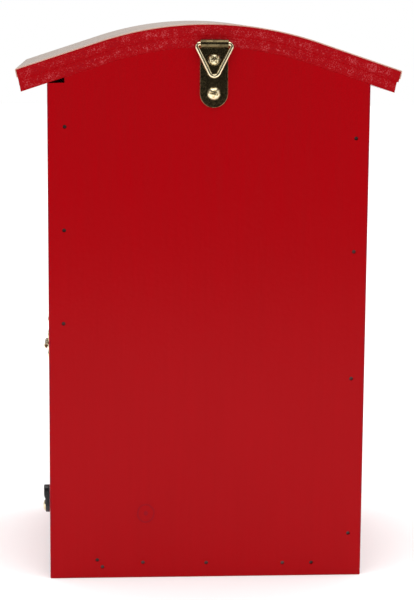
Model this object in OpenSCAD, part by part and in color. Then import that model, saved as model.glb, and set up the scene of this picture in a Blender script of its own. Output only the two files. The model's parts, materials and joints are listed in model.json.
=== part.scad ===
// Wall-hung wooden money box with an arched roof, a hinged side door and a turn button.
// Millimetres. +Z is up, the front faces -Y, the back with the hanger faces +Y and the
// door is on the +X side. The origin is the centre of the underside of the case.

/* [Case] */
// Width of the case over its side walls
body_w = 150; // [110:1:200]
// Depth of the case over its front and back panels
body_d = 124; // [90:1:170]
// Height from the underside to the top of the roof sheet
overall_h = 264.4; // [215:0.1:330]
// Thickness of every board of the case
board_t = 12; // [9:0.5:16]

/* [Roof] */
// Radius of the arched middle of the roof, at its top surface
roof_r = 161; // [130:1:220]
// Slope of the straight sides of the roof, in degrees
roof_pitch = 18.4; // [14:0.1:20]
// Thickness of each of the two roof plies
ply_t = 5.1; // [3.5:0.1:7]
// Thickness of the metal sheet on the roof
sheet_t = 0.5; // [0.3:0.1:1]
// Height of the sheet that is folded down over each end of the roof
sheet_lip = 4; // [3.2:0.1:5.5]
// Lean of the roof's two ends from upright, in degrees
end_lean = 12; // [8:0.5:14]
// Roof beyond each side wall
side_overhang = 14.7; // [6:0.1:25]
// Roof beyond the front panel
front_overhang = 14; // [4:0.5:25]
// How much shorter the lower ply is at the plain side
ply_step = 0.8; // [0:0.1:2]
// Angle of the roof nails from the middle of the arch, in degrees
roof_nail_angle = 12; // [8:0.5:14]

/* [Door] */
// Height of the door board
door_h = 108.6; // [80:0.1:135]
// Gap between the door and each board around it
door_gap = 0.4; // [0.3:0.1:1]
// Bottom edge of the door above the underside of the case
door_lift = 1.6; // [1:0.1:3]

/* [Door hinges] */
// Length of each hinge along the axis
hinge_len = 14; // [11:0.5:20]
// Centre of each hinge from the nearer face of the case
hinge_inset = 25; // [21:0.5:32]
// Height of one hinge leaf from the axis
leaf_h = 7.3; // [6:0.1:10]
// Thickness of the hinge leaves
leaf_t = 0.6; // [0.4:0.1:0.8]
// Outer radius of the knuckles
knuckle_r = 1.3; // [1.1:0.05:1.8]
// Length of the middle knuckle
knuckle_len = 4.8; // [3:0.1:6]
// Gap between neighbouring knuckles
knuckle_gap = 0.3; // [0.2:0.05:0.6]
// Gap between the knuckles and the wall behind them
knuckle_lift = 0.1; // [0.05:0.05:0.4]
// Radius of the hinge pins
hinge_pin_r = 0.6; // [0.4:0.05:0.8]
// Running clearance of the pins in the door leaves
pin_clear = 0.05; // [0.03:0.01:0.08]

/* [Turn button] */
// Height of the pivot screw above the underside of the case
button_z = 35; // [20:1:70]
// Radius of the pivot end
button_r = 3.4; // [2.8:0.1:4.5]
// Radius of the finger tip
button_tip_r = 2.5; // [1.5:0.1:2.8]
// Distance from the pivot to the centre of the finger tip
button_reach = 7.6; // [6.5:0.1:12]
// Thickness of the button at its pivot
button_t = 1.9; // [1.2:0.1:3]
// Height of the raised finger tip
button_tip_t = 2.7; // [2:0.1:4]
// Gap between the button and the face it turns on
button_lift = 0.2; // [0.1:0.05:0.5]

/* [Hanger] */
// Place of the hanger across the back, from the middle
hanger_x = -1.9; // [-10:0.1:10]
// Height of the ring's axis above the underside of the roof
hanger_rise = 1.6; // [0:0.1:4]
// Width of the strap
strap_w = 13; // [10:0.1:13.4]
// Length of the strap below the ring's axis
strap_len = 29.4; // [27:0.1:36]
// Thickness of the strap
strap_t = 0.8; // [0.5:0.1:0.9]
// Outer radius of the strap's rolled eye
eye_r = 2; // [1.9:0.05:2.4]
// Radius of the ring's wire
wire_r = 1; // [0.7:0.05:1.1]
// Running clearance of the wire in the eye
eye_clear = 0.05; // [0.03:0.01:0.1]
// Half of the ring's width where its sides meet the bar's line
ring_half_w = 8.8; // [8.6:0.1:11]
// Depth of the ring's triangle from bar to point, before it is rounded
ring_depth = 17.7; // [16:0.1:20]
// Bend radius of the ring's upper corners
ring_corner_r = 1.3; // [1.15:0.05:1.35]
// Bend radius of the ring's point
ring_tip_r = 2.3; // [1.5:0.1:3]
// Upper screw below the ring's axis
upper_screw_drop = 7.2; // [6.6:0.1:8]
// Lower screw below the ring's axis
lower_screw_drop = 22.9; // [21:0.1:24]

/* [Fasteners] */
// Radius of the hanger and button screws
screw_r = 1.5; // [1.2:0.05:1.7]
// Length of those screws under the head
screw_len = 11.5; // [8:0.5:12]
// Head radius of those screws
screw_head_r = 3.05; // [2.6:0.05:3.2]
// Head height of those screws
screw_head_h = 1.7; // [1.2:0.1:2.2]
// Clearance of a screw's shank in the metal that it holds
screw_clear = 0.05; // [0.03:0.01:0.1]
// Radius of the hinge screws
small_screw_r = 0.8; // [0.6:0.05:1]
// Length of the hinge screws under the head
small_screw_len = 8; // [5:0.5:9]
// Head radius of the hinge screws
small_head_r = 1.4; // [1.1:0.05:1.5]
// Head height of the hinge screws
small_head_h = 0.5; // [0.3:0.05:0.6]
// Radius of the case nails
nail_r = 0.6; // [0.4:0.05:0.9]
// Length of the case nails
nail_len = 24; // [18:0.5:30]
// Head radius of the case nails
nail_head_r = 0.9; // [0.7:0.05:1.3]
// Depth of the nail heads below the surface
nail_sink = 0.8; // [0.3:0.1:1.5]
// Length of the pins that hold the roof sheet
sheet_pin_len = 8; // [5:0.5:12]

/* [Coin slot] */
// Length of the coin slot
slot_w = 36; // [28:1:60]
// Height of the coin slot
slot_h = 5; // [4.4:0.1:8]
// Coin slot below the underside of the roof, at the middle
slot_drop = 52; // [30:1:80]

/* [Hidden] */
$fn = 64;

red = [0.66, 0.02, 0.06];
dark_red = [0.55, 0.02, 0.05];
tin = [0.74, 0.68, 0.64];
steel = [0.5, 0.5, 0.52];
brass = [0.82, 0.68, 0.4];
old_brass = [0.36, 0.3, 0.2];
black = [0.05, 0.05, 0.05];

// A cut runs this far past the faces that it opens
past = 1;
// Shapes that join at a tangent run this far into each other
seam = 0.02;

// Faces of the case
half_w = body_w / 2;
half_d = body_d / 2;
inner_x = half_w - board_t;
inner_y = half_d - board_t;

// Roof: the arc's centre, its layers and the length of its straight sides
arc_z = overall_h - roof_r;
upper_r = roof_r - sheet_t;
middle_r = upper_r - ply_t;
under_r = middle_r - ply_t;
roof_half_w = half_w + side_overhang;
end_flare = roof_pitch - end_lean;
slope_len = (roof_half_w - roof_r * sin(roof_pitch)) / cos(roof_pitch);
ply_len = slope_len - sheet_t;
roof_front = -half_d - front_overhang;
under_top = arc_z + under_r;
// Flats in each half of the arch
arch_steps = 16;

// Underside of the roof over the outer face of a side wall
eave_run = (half_w - under_r * sin(roof_pitch)) / cos(roof_pitch);
eave_z = arc_z + under_r * cos(roof_pitch) - eave_run * sin(roof_pitch);

// The back panel's top corner at the door side is cut level and leaves a small gap
corner_cut_w = 8;
corner_cut_z = eave_z + 0.2;

// Door and hinge axis
door_top = door_lift + door_h;
hinge_z = door_top + door_gap;
wall_low = hinge_z + door_gap;
hinge_axis_x = half_w + knuckle_lift + knuckle_r;
knuckle_reach = knuckle_r + 0.3;
hinge_centres = [half_d - hinge_inset, -half_d + hinge_inset];
leaf_screw_y = hinge_len / 2 - 2.6;
leaf_screw_z = (leaf_h + knuckle_reach) / 2;

// Turn button: its pivot in the edge of the back panel
button_y = half_d - board_t / 2;
button_bore_r = screw_r + screw_clear;
button_head_gap = 0.1;
button_screw_x = half_w + button_lift + button_t + button_head_gap;

// Hanger: the ring's axis
hanger_z = under_top + hanger_rise;
hanger_y = half_d + eye_r;
ring_lean = atan(ring_half_w / ring_depth);
corner_half = (90 - ring_lean) / 2;
corner_run = ring_corner_r / tan(corner_half);
tip_run = ring_tip_r / tan(ring_lean);
tip_rise = ring_tip_r / sin(ring_lean);
side_len = sqrt(pow(ring_half_w, 2) + pow(ring_depth, 2)) - corner_run - tip_run;
bend_swell = 0.01;

// Case nails: each is the inset from the side and the height
door_side_low = wall_low + 13.5;
door_side_high = eave_z - 20;
door_side_nails = [
    [8, door_side_high],
    [7.5, (door_side_low + door_side_high) / 2 - 2],
    [7, door_side_low]
];
plain_side_low = 21;
plain_side_high = eave_z - 25;
plain_side_span = plain_side_high - plain_side_low;
plain_side_nails = [
    for (share = [0, 0.4, 0.72, 1])
        [6.3, plain_side_low + share * plain_side_span]
];
// Floor nails: each is the distance from the door side or the plain side, and the height
floor_door_nails = [[22.5, 9], [25, 5.5], [44.5, 7.5]];
floor_plain_nails = [[75, 7], [38, 6.5], [24, 6.5]];
front_floor_insets = [24, 58];
nail_head_t = 0.6;
nail_tip = 2;

// Roof nails lie flush, under the sheet
roof_nail_r = 0.8;
roof_nail_head_r = 1.5;
roof_nail_head_t = 0.7;
roof_nail_len = 28;
roof_nail_sink = 0.05;

// Sheet pins, through the folded ends
sheet_pin_r = 0.5;
sheet_pin_head_r = 1.1;
sheet_pin_head_t = 0.4;
sheet_pin_drop = 2.6;
sheet_pin_run = slope_len + sheet_pin_drop * tan(end_flare);
sheet_pin_rows = [half_d - 10, -front_overhang / 2, -half_d - front_overhang + 10];

// End of a straight side of the roof, about the arc's centre. The run grows below the
// top surface, because the ends lean less than the slope's own square cut would.
function slope_end(r, run, side) = let (reach = run + (roof_r - r) * tan(end_flare)) [
    side * (r * sin(roof_pitch) + reach * cos(roof_pitch)),
    r * cos(roof_pitch) - reach * sin(roof_pitch)
];

// Arched middle of the roof, from the plain side to the door side, or back (way = -1)
function arch(r, way) = [
    for (step = [-arch_steps : arch_steps])
        let (turn = way * roof_pitch * step / arch_steps)
            [r * sin(turn), r * cos(turn)]
];

// Cross-section of one or more roof layers, about the arc's centre
module roof_band(outer_r, inner_r, plus_len, minus_len) {
    polygon(concat(
        [slope_end(outer_r, minus_len, -1)],
        arch(outer_r, 1),
        [slope_end(outer_r, plus_len, 1), slope_end(inner_r, plus_len, 1)],
        arch(inner_r, -1),
        [slope_end(inner_r, minus_len, -1)]
    ));
}

// Cross-section of the roof sheet, with its ends folded down over the plies
module sheet_section() {
    lip_r = roof_r - sheet_lip;
    polygon(concat(
        [slope_end(lip_r, slope_len, -1), slope_end(roof_r, slope_len, -1)],
        arch(roof_r, 1),
        [slope_end(roof_r, slope_len, 1), slope_end(lip_r, slope_len, 1)],
        [slope_end(lip_r, ply_len, 1), slope_end(upper_r, ply_len, 1)],
        arch(upper_r, -1),
        [slope_end(upper_r, ply_len, -1), slope_end(lip_r, ply_len, -1)]
    ));
}

// A roof layer from the back face forwards, from its section
module roof_depth() {
    translate([0, half_d, arc_z])
        rotate([90, 0, 0])
            linear_extrude(height = half_d - roof_front)
                children();
}

// Everything above the underside of the roof, to trim the boards of the case
module above_roof_underside() {
    reach = slope_len + board_t;
    translate([0, half_d + past, arc_z])
        rotate([90, 0, 0])
            linear_extrude(height = body_d + 2 * past)
                roof_band(under_r + 4 * board_t, under_r, reach, reach);
}

// A round nail whose head top is at the origin and whose shank runs to -Z
module nail(shank_r, length, head_r, head_t) {
    translate([0, 0, -head_t])
        cylinder(r = head_r, h = head_t, $fn = 32);
    translate([0, 0, -length + nail_tip])
        cylinder(r = shank_r, h = length - nail_tip - head_t + 0.01, $fn = 32);
    translate([0, 0, -length])
        cylinder(r1 = shank_r / 4, r2 = shank_r, h = nail_tip, $fn = 32);
}

// The hole that a nail fills, and the sink above its head
module nail_hole(shank_r, length, head_r, head_t, sink) {
    translate([0, 0, -head_t])
        cylinder(r = head_r, h = head_t + sink, $fn = 32);
    translate([0, 0, -length])
        cylinder(r = shank_r, h = length, $fn = 32);
}

// A screw with a domed head on the XY plane, a cross recess and a shank to -Z
module screw(shank_r, length, head_r, head_h) {
    dome_r = (head_r * head_r + head_h * head_h) / (2 * head_h);
    recess = head_r * 0.24;
    difference() {
        rotate_extrude($fn = 48)
            intersection() {
                translate([0, head_h - dome_r])
                    circle(r = dome_r, $fn = 96);
                square([head_r, head_h + past]);
            }
        for (turn = [0, 90])
            rotate(turn)
                translate([-head_r * 0.55, -recess / 2, head_h * 0.55])
                    cube([head_r * 1.1, recess, head_h]);
    }
    translate([0, 0, -length + nail_tip])
        cylinder(r = shank_r, h = length - nail_tip + 0.01, $fn = 32);
    translate([0, 0, -length])
        cylinder(r1 = shank_r / 4, r2 = shank_r, h = nail_tip, $fn = 32);
}

// The hole that a screw's shank fills
module screw_hole(radius, length) {
    translate([0, 0, -length])
        cylinder(r = radius, h = length + past, $fn = 32);
}

// Children placed at each case nail of the back (face = 1) or the front (face = -1)
module at_side_nails(face) {
    for (spot = door_side_nails)
        translate([half_w - spot[0], face * (half_d - nail_sink), spot[1]])
            rotate([-90 * face, 0, 0])
                children();
    for (spot = plain_side_nails)
        translate([-half_w + spot[0], face * (half_d - nail_sink), spot[1]])
            rotate([-90 * face, 0, 0])
                children();
}

module at_back_floor_nails() {
    for (spot = floor_door_nails)
        translate([half_w - spot[0], half_d - nail_sink, spot[1]])
            rotate([-90, 0, 0])
                children();
    for (spot = floor_plain_nails)
        translate([-half_w + spot[0], half_d - nail_sink, spot[1]])
            rotate([-90, 0, 0])
                children();
}

module at_front_floor_nails() {
    for (inset = front_floor_insets)
        for (side = [-1, 1])
            translate([side * (half_w - inset), -half_d + nail_sink, board_t / 2])
                rotate([90, 0, 0])
                    children();
}

module case_nail() {
    nail(nail_r, nail_len, nail_head_r, nail_head_t);
}

module case_nail_hole() {
    nail_hole(nail_r, nail_len, nail_head_r, nail_head_t, nail_sink + past);
}

// Children placed at each roof nail, with +Z outwards along the arch's radius
module at_roof_nails() {
    for (face = [-1, 1])
        for (side = [-1, 1])
            translate([0, face * (half_d - board_t / 2), arc_z])
                rotate([0, side * roof_nail_angle, 0])
                    translate([0, 0, upper_r - roof_nail_sink])
                        children();
}

module roof_nail_hole() {
    nail_hole(roof_nail_r, roof_nail_len, roof_nail_head_r, roof_nail_head_t, past);
}

// Children placed at each sheet pin, with +Z out of the roof's end
module at_sheet_pins() {
    for (row = sheet_pin_rows)
        for (side = [-1, 1])
            translate([0, row, arc_z])
                rotate([0, side * roof_pitch, 0])
                    translate([side * sheet_pin_run, 0, roof_r - sheet_pin_drop])
                        rotate([0, side * (90 - end_flare), 0])
                            children();
}

// Children placed at the two screws of the hanger, on a face this far behind the case
module at_hanger_screws(lift) {
    for (drop = [upper_screw_drop, lower_screw_drop])
        translate([hanger_x, half_d + lift, hanger_z - drop])
            rotate([-90, 0, 0])
                children();
}

// Children placed at each hinge screw of the wall (side = 1) or the door (side = -1)
module at_hinge_screws(side, lift) {
    for (centre = hinge_centres)
        for (offset = [-leaf_screw_y, leaf_screw_y])
            translate([half_w + lift, centre + offset, hinge_z + side * leaf_screw_z])
                rotate([0, 90, 0])
                    children();
}

// Children placed at the pivot of the turn button, with +Z out of the side
module at_button(lift) {
    translate([half_w + lift, button_y, button_z])
        rotate([0, 90, 0])
            children();
}

module back_panel() {
    color(red)
        difference() {
            translate([-half_w, inner_y, 0])
                cube([body_w, board_t, overall_h]);
            above_roof_underside();
            translate([half_w - corner_cut_w, inner_y - past, corner_cut_z])
                cube([corner_cut_w + past, board_t + 2 * past, board_t]);
            at_side_nails(1)
                case_nail_hole();
            at_back_floor_nails()
                case_nail_hole();
            at_roof_nails()
                roof_nail_hole();
            at_hanger_screws(strap_t)
                screw_hole(screw_r, screw_len);
            at_button(button_screw_x - half_w)
                screw_hole(screw_r, screw_len);
        }
}

module front_panel() {
    color(red)
        difference() {
            translate([-half_w, -half_d, 0])
                cube([body_w, board_t, overall_h]);
            above_roof_underside();
            at_side_nails(-1)
                case_nail_hole();
            at_front_floor_nails()
                case_nail_hole();
            at_roof_nails()
                roof_nail_hole();
            translate([-slot_w / 2, -half_d - past, under_top - slot_drop])
                cube([slot_w, board_t + 2 * past, slot_h]);
        }
}

// A side wall from a height up to the roof, between the front and back panels
module side_wall(side, low) {
    difference() {
        translate([side > 0 ? inner_x : -half_w, -inner_y, low])
            cube([board_t, 2 * inner_y, overall_h - low]);
        above_roof_underside();
        at_side_nails(1)
            case_nail_hole();
        at_side_nails(-1)
            case_nail_hole();
    }
}

module plain_side_wall() {
    color(red)
        side_wall(-1, 0);
}

module upper_side_wall() {
    color(red)
        difference() {
            side_wall(1, wall_low);
            at_hinge_screws(1, leaf_t)
                screw_hole(small_screw_r, small_screw_len);
        }
}

module side_door() {
    color(dark_red)
        difference() {
            translate([inner_x, -inner_y + door_gap, door_lift])
                cube([board_t, 2 * (inner_y - door_gap), door_h]);
            at_hinge_screws(-1, leaf_t)
                screw_hole(small_screw_r, small_screw_len);
        }
}

module floor_board() {
    color(dark_red)
        difference() {
            translate([-inner_x, -inner_y, 0])
                cube([2 * inner_x - door_gap, 2 * inner_y, board_t]);
            at_back_floor_nails()
                case_nail_hole();
            at_front_floor_nails()
                case_nail_hole();
        }
}

module roof_lower_ply() {
    color(red)
        difference() {
            roof_depth()
                roof_band(middle_r, under_r, ply_len, ply_len - ply_step);
            at_roof_nails()
                roof_nail_hole();
        }
}

module roof_upper_ply() {
    color(red)
        difference() {
            roof_depth()
                roof_band(upper_r, middle_r, ply_len, ply_len);
            at_roof_nails()
                roof_nail_hole();
            at_sheet_pins()
                screw_hole(sheet_pin_r, sheet_pin_len);
        }
}

module roof_sheet() {
    color(tin)
        difference() {
            roof_depth()
                sheet_section();
            at_sheet_pins()
                screw_hole(sheet_pin_r, sheet_pin_len);
        }
}

module roof_nails() {
    color(steel)
        at_roof_nails()
            nail(roof_nail_r, roof_nail_len, roof_nail_head_r, roof_nail_head_t);
}

module roof_sheet_pins() {
    color(steel)
        at_sheet_pins()
            translate([0, 0, sheet_pin_head_t])
                nail(sheet_pin_r, sheet_pin_len, sheet_pin_head_r, sheet_pin_head_t);
}

// A hinge leaf above (side = 1) or below (side = -1) the axis, with its knuckles
module hinge_leaf(side, spans, bore_r) {
    plate_h = leaf_h - knuckle_reach;
    difference() {
        union() {
            translate([half_w, -hinge_len / 2, side > 0 ? knuckle_reach : -leaf_h])
                cube([leaf_t, hinge_len, plate_h]);
            for (span = spans) {
                translate([half_w, span[0], side > 0 ? 0 : -knuckle_reach - 0.2])
                    cube([leaf_t, span[1] - span[0], knuckle_reach + 0.2]);
                translate([hinge_axis_x, span[0], 0])
                    rotate([-90, 0, 0])
                        cylinder(r = knuckle_r, h = span[1] - span[0], $fn = 48);
            }
        }
        translate([hinge_axis_x, -hinge_len / 2 - past, 0])
            rotate([-90, 0, 0])
                cylinder(r = bore_r, h = hinge_len + 2 * past, $fn = 48);
    }
}

module wall_leaf(centre) {
    color(brass)
        difference() {
            translate([0, centre, hinge_z])
                hinge_leaf(1, [[-knuckle_len / 2, knuckle_len / 2]], hinge_pin_r);
            at_hinge_screws(1, leaf_t)
                screw_hole(small_screw_r, small_screw_len);
        }
}

module door_leaf(centre) {
    inner_end = knuckle_len / 2 + knuckle_gap;
    color(brass)
        difference() {
            translate([0, centre, hinge_z])
                hinge_leaf(-1, [[-hinge_len / 2, -inner_end], [inner_end, hinge_len / 2]],
                    hinge_pin_r + pin_clear);
            at_hinge_screws(-1, leaf_t)
                screw_hole(small_screw_r, small_screw_len);
        }
}

module hinge_pin(centre) {
    color(old_brass)
        translate([hinge_axis_x, centre - hinge_len / 2, hinge_z])
            rotate([-90, 0, 0])
                cylinder(r = hinge_pin_r, h = hinge_len, $fn = 48);
}

module rear_hinge_wall_leaf() {
    wall_leaf(hinge_centres[0]);
}

module rear_hinge_door_leaf() {
    door_leaf(hinge_centres[0]);
}

module rear_hinge_pin() {
    hinge_pin(hinge_centres[0]);
}

module front_hinge_wall_leaf() {
    wall_leaf(hinge_centres[1]);
}

module front_hinge_door_leaf() {
    door_leaf(hinge_centres[1]);
}

module front_hinge_pin() {
    hinge_pin(hinge_centres[1]);
}

module hinge_wall_screws() {
    color(brass)
        at_hinge_screws(1, leaf_t)
            screw(small_screw_r, small_screw_len, small_head_r, small_head_h);
}

module hinge_door_screws() {
    color(brass)
        at_hinge_screws(-1, leaf_t)
            screw(small_screw_r, small_screw_len, small_head_r, small_head_h);
}

// The button points up, clear of the door; turned to the front it holds the door shut
module turn_button() {
    color(black)
        at_button(button_lift)
            difference() {
                union() {
                    hull() {
                        cylinder(r = button_r, h = button_t, $fn = 32);
                        translate([-button_reach, 0, 0])
                            cylinder(r = button_tip_r, h = button_t, $fn = 32);
                    }
                    translate([-button_reach, 0, 0])
                        cylinder(r = button_tip_r, h = button_tip_t, $fn = 32);
                }
                translate([0, 0, -past])
                    cylinder(r = button_bore_r, h = button_t + 2 * past, $fn = 48);
            }
}

module turn_button_screw() {
    color(brass)
        at_button(button_screw_x - half_w)
            screw(screw_r, screw_len, screw_head_r, screw_head_h * 0.7);
}

module hanger_strap() {
    color(old_brass)
        difference() {
            union() {
                translate([hanger_x - strap_w / 2, half_d, hanger_z - strap_len + strap_w / 2])
                    cube([strap_w, strap_t, strap_len - strap_w / 2]);
                translate([hanger_x, half_d, hanger_z - strap_len + strap_w / 2])
                    rotate([-90, 0, 0])
                        cylinder(r = strap_w / 2, h = strap_t, $fn = 96);
                translate([hanger_x - strap_w / 2, hanger_y, hanger_z])
                    rotate([0, 90, 0])
                        cylinder(r = eye_r, h = strap_w, $fn = 48);
            }
            translate([hanger_x - strap_w / 2 - past, hanger_y, hanger_z])
                rotate([0, 90, 0])
                    cylinder(r = wire_r + eye_clear, h = strap_w + 2 * past, $fn = 48);
            at_hanger_screws(strap_t)
                screw_hole(screw_r + screw_clear, screw_len);
        }
}

// One bend of the ring's wire: a piece of a torus about the origin in the XZ plane,
// a little fatter than the straights that run into it
module wire_bend(bend_r, start, sweep) {
    rotate([90, 0, 0])
        rotate(start)
            rotate_extrude(angle = sweep, $fn = 64)
                translate([bend_r, 0])
                    circle(r = wire_r + bend_swell, $fn = 32);
}

// The triangular ring, hanging with its point down
module hanger_ring() {
    corner_x = ring_half_w - corner_run;
    color(brass)
        translate([hanger_x, hanger_y, hanger_z]) {
            translate([-corner_x - seam, 0, 0])
                rotate([0, 90, 0])
                    cylinder(r = wire_r, h = 2 * (corner_x + seam), $fn = 32);
            for (side = [0, 1])
                mirror([side, 0, 0]) {
                    translate([corner_x, 0, -ring_corner_r])
                        wire_bend(ring_corner_r, -ring_lean, 90 + ring_lean);
                    translate([0, 0, -ring_depth])
                        rotate([0, ring_lean, 0])
                            translate([0, 0, tip_run - seam])
                                cylinder(r = wire_r, h = side_len + 2 * seam, $fn = 32);
                }
            translate([0, 0, -ring_depth + tip_rise])
                wire_bend(ring_tip_r, -180 + ring_lean, 180 - 2 * ring_lean);
        }
}

module hanger_screws() {
    color(brass)
        at_hanger_screws(strap_t)
            screw(screw_r, screw_len, screw_head_r, screw_head_h);
}

module back_side_nails() {
    color(steel)
        at_side_nails(1)
            case_nail();
}

module back_floor_nails() {
    color(steel)
        at_back_floor_nails()
            case_nail();
}

module front_side_nails() {
    color(steel)
        at_side_nails(-1)
            case_nail();
}

module front_floor_nails() {
    color(steel)
        at_front_floor_nails()
            case_nail();
}

back_panel();
front_panel();
plain_side_wall();
upper_side_wall();
side_door();
floor_board();
roof_lower_ply();
roof_upper_ply();
roof_sheet();
roof_nails();
roof_sheet_pins();
rear_hinge_wall_leaf();
rear_hinge_door_leaf();
rear_hinge_pin();
front_hinge_wall_leaf();
front_hinge_door_leaf();
front_hinge_pin();
hinge_wall_screws();
hinge_door_screws();
turn_button();
turn_button_screw();
hanger_strap();
hanger_ring();
hanger_screws();
back_side_nails();
back_floor_nails();
front_side_nails();
front_floor_nails();
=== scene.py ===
"""Looks of a wooden money box with an arched roof: painted boards, a plywood roof whose cut
edges carry painted highlight specks, under a thin metal sheet, brass hinges, a black turn
button and a hanging ring.

Metres, +Z up, the front faces -Y, the back with the hanger faces +Y, the door is at +X.
"""

import json
import math

import bmesh
import bpy
import numpy as np
from bpy.props import FloatProperty, FloatVectorProperty, PointerProperty
from mathutils import Matrix, Vector

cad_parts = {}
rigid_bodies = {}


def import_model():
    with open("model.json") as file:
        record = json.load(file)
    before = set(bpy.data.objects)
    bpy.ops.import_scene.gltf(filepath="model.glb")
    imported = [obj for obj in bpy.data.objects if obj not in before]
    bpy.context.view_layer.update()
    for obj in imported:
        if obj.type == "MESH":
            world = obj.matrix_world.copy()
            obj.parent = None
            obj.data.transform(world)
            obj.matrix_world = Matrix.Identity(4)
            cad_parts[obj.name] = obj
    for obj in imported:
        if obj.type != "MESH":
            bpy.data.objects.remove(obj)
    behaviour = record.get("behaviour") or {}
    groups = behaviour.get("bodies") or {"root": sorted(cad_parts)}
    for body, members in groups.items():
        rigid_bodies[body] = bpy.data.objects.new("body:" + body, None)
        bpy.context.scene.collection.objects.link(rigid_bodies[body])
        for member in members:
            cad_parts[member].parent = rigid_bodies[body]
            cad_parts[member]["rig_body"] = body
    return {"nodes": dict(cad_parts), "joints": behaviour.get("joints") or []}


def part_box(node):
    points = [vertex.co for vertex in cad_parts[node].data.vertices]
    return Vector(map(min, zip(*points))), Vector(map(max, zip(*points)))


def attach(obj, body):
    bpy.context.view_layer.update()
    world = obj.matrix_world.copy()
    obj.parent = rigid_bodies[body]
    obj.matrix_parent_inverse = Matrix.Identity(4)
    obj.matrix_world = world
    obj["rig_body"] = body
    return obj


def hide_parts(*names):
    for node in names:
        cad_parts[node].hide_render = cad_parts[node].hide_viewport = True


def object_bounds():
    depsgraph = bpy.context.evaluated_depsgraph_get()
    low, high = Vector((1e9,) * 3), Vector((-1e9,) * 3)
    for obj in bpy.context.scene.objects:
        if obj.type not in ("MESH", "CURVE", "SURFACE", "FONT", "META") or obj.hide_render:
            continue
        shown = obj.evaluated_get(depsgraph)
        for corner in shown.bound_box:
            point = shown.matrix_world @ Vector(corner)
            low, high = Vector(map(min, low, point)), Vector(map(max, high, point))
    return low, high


bl_info = {
    "name": "Money box",
    "version": (1, 0, 0),
    "blender": (4, 5, 0),
    "location": "3D View > Sidebar > Money box",
    "description": "Builds the looks of a wooden money box round its packed frame",
    "category": "Add Mesh",
}

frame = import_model()
CAD_LO, CAD_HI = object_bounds()
BOX = {name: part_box(name) for name in frame["nodes"]}
JOINT = {joint["name"]: np.array(joint["pos_m"]) for joint in frame["joints"]}

X_AXIS = np.array([1.0, 0.0, 0.0])
Y_AXIS = np.array([0.0, 1.0, 0.0])
Z_AXIS = np.array([0.0, 0.0, 1.0])
MM = 0.001

SHARP_TURN = math.radians(40)   # an edge that turns by more is an arris
FLAT_TURN = math.radians(0.4)   # faces that turn by less are one face
LONG_ARRIS = 0.002              # only a longer arris is rounded
CLIPPED_CORNER = 0.001          # a shorter one between two long ones is a clipped corner
SEAM_BEVEL = 0.2                # share of the rounding that is left under the roof


# ---------------------------------------------------------------- settings

def colour_setting(name, description, default):
    return FloatVectorProperty(name=name, description=description, subtype="COLOR", size=4,
                               min=0, max=1, default=default)


def length_setting(name, description, default, **limits):
    return FloatProperty(name=name, description=description, unit="LENGTH", default=default,
                         **limits)


class MoneyBoxPaint(bpy.types.PropertyGroup):
    """Colours and wear of the painted wood, with the colours of its painted highlights and painted
    shade.
    """

    red: colour_setting("Red", "Colour of the gloss paint", (0.335, 0.0, 0.0026, 1))
    deep_red: colour_setting(
        "Deep red", "Colour of the paint where it lies thick", (0.298, 0.0, 0.002, 1))
    # Painted highlight colour: light specks on the boards and the roof's cut edges, standing in for
    # light caught by the gloss.
    glint: colour_setting(
        "Highlight", "Colour of the specks on the roof's cut edges", (0.5, 0.07, 0.08, 1))
    # Worn arrises and the knot; also painted shade in the pits of the roof's cut edges.
    arris: colour_setting("Arris", "Colour of the worn arrises", (0.2, 0.003, 0.012, 1))
    bare_wood: colour_setting("Bare wood", "Colour of the unpainted inside", (0.6, 0.42, 0.24, 1))
    board_round: length_setting(
        "Board rounding", "Width of the rounded arris of a board", 0.0006, min=0.0001, max=0.002)


class MoneyBoxRoof(bpy.types.PropertyGroup):
    """Shape of the roof, as the frame has it."""

    radius: length_setting("Arch radius", "Radius of the arched middle at the top surface", 0.161)
    pitch: FloatProperty(
        name="Pitch", description="Slope of the straight sides",
        subtype="ANGLE", default=math.radians(18.4))
    end_lean: FloatProperty(
        name="End lean", description="Lean of the two ends from upright",
        subtype="ANGLE", default=math.radians(12))
    ply: length_setting("Ply", "Thickness of each ply", 0.0051)
    sheet: length_setting("Sheet", "Thickness of the metal sheet", 0.0005)
    lip: length_setting("Lip", "Height of the sheet folded down over each end", 0.004)
    step: length_setting("Ply step", "How much shorter the lower ply is at the plain side", 0.0008)
    roughness: length_setting(
        "Edge roughness", "Depth of the torn grain in the cut edges", 0.00016)


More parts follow.
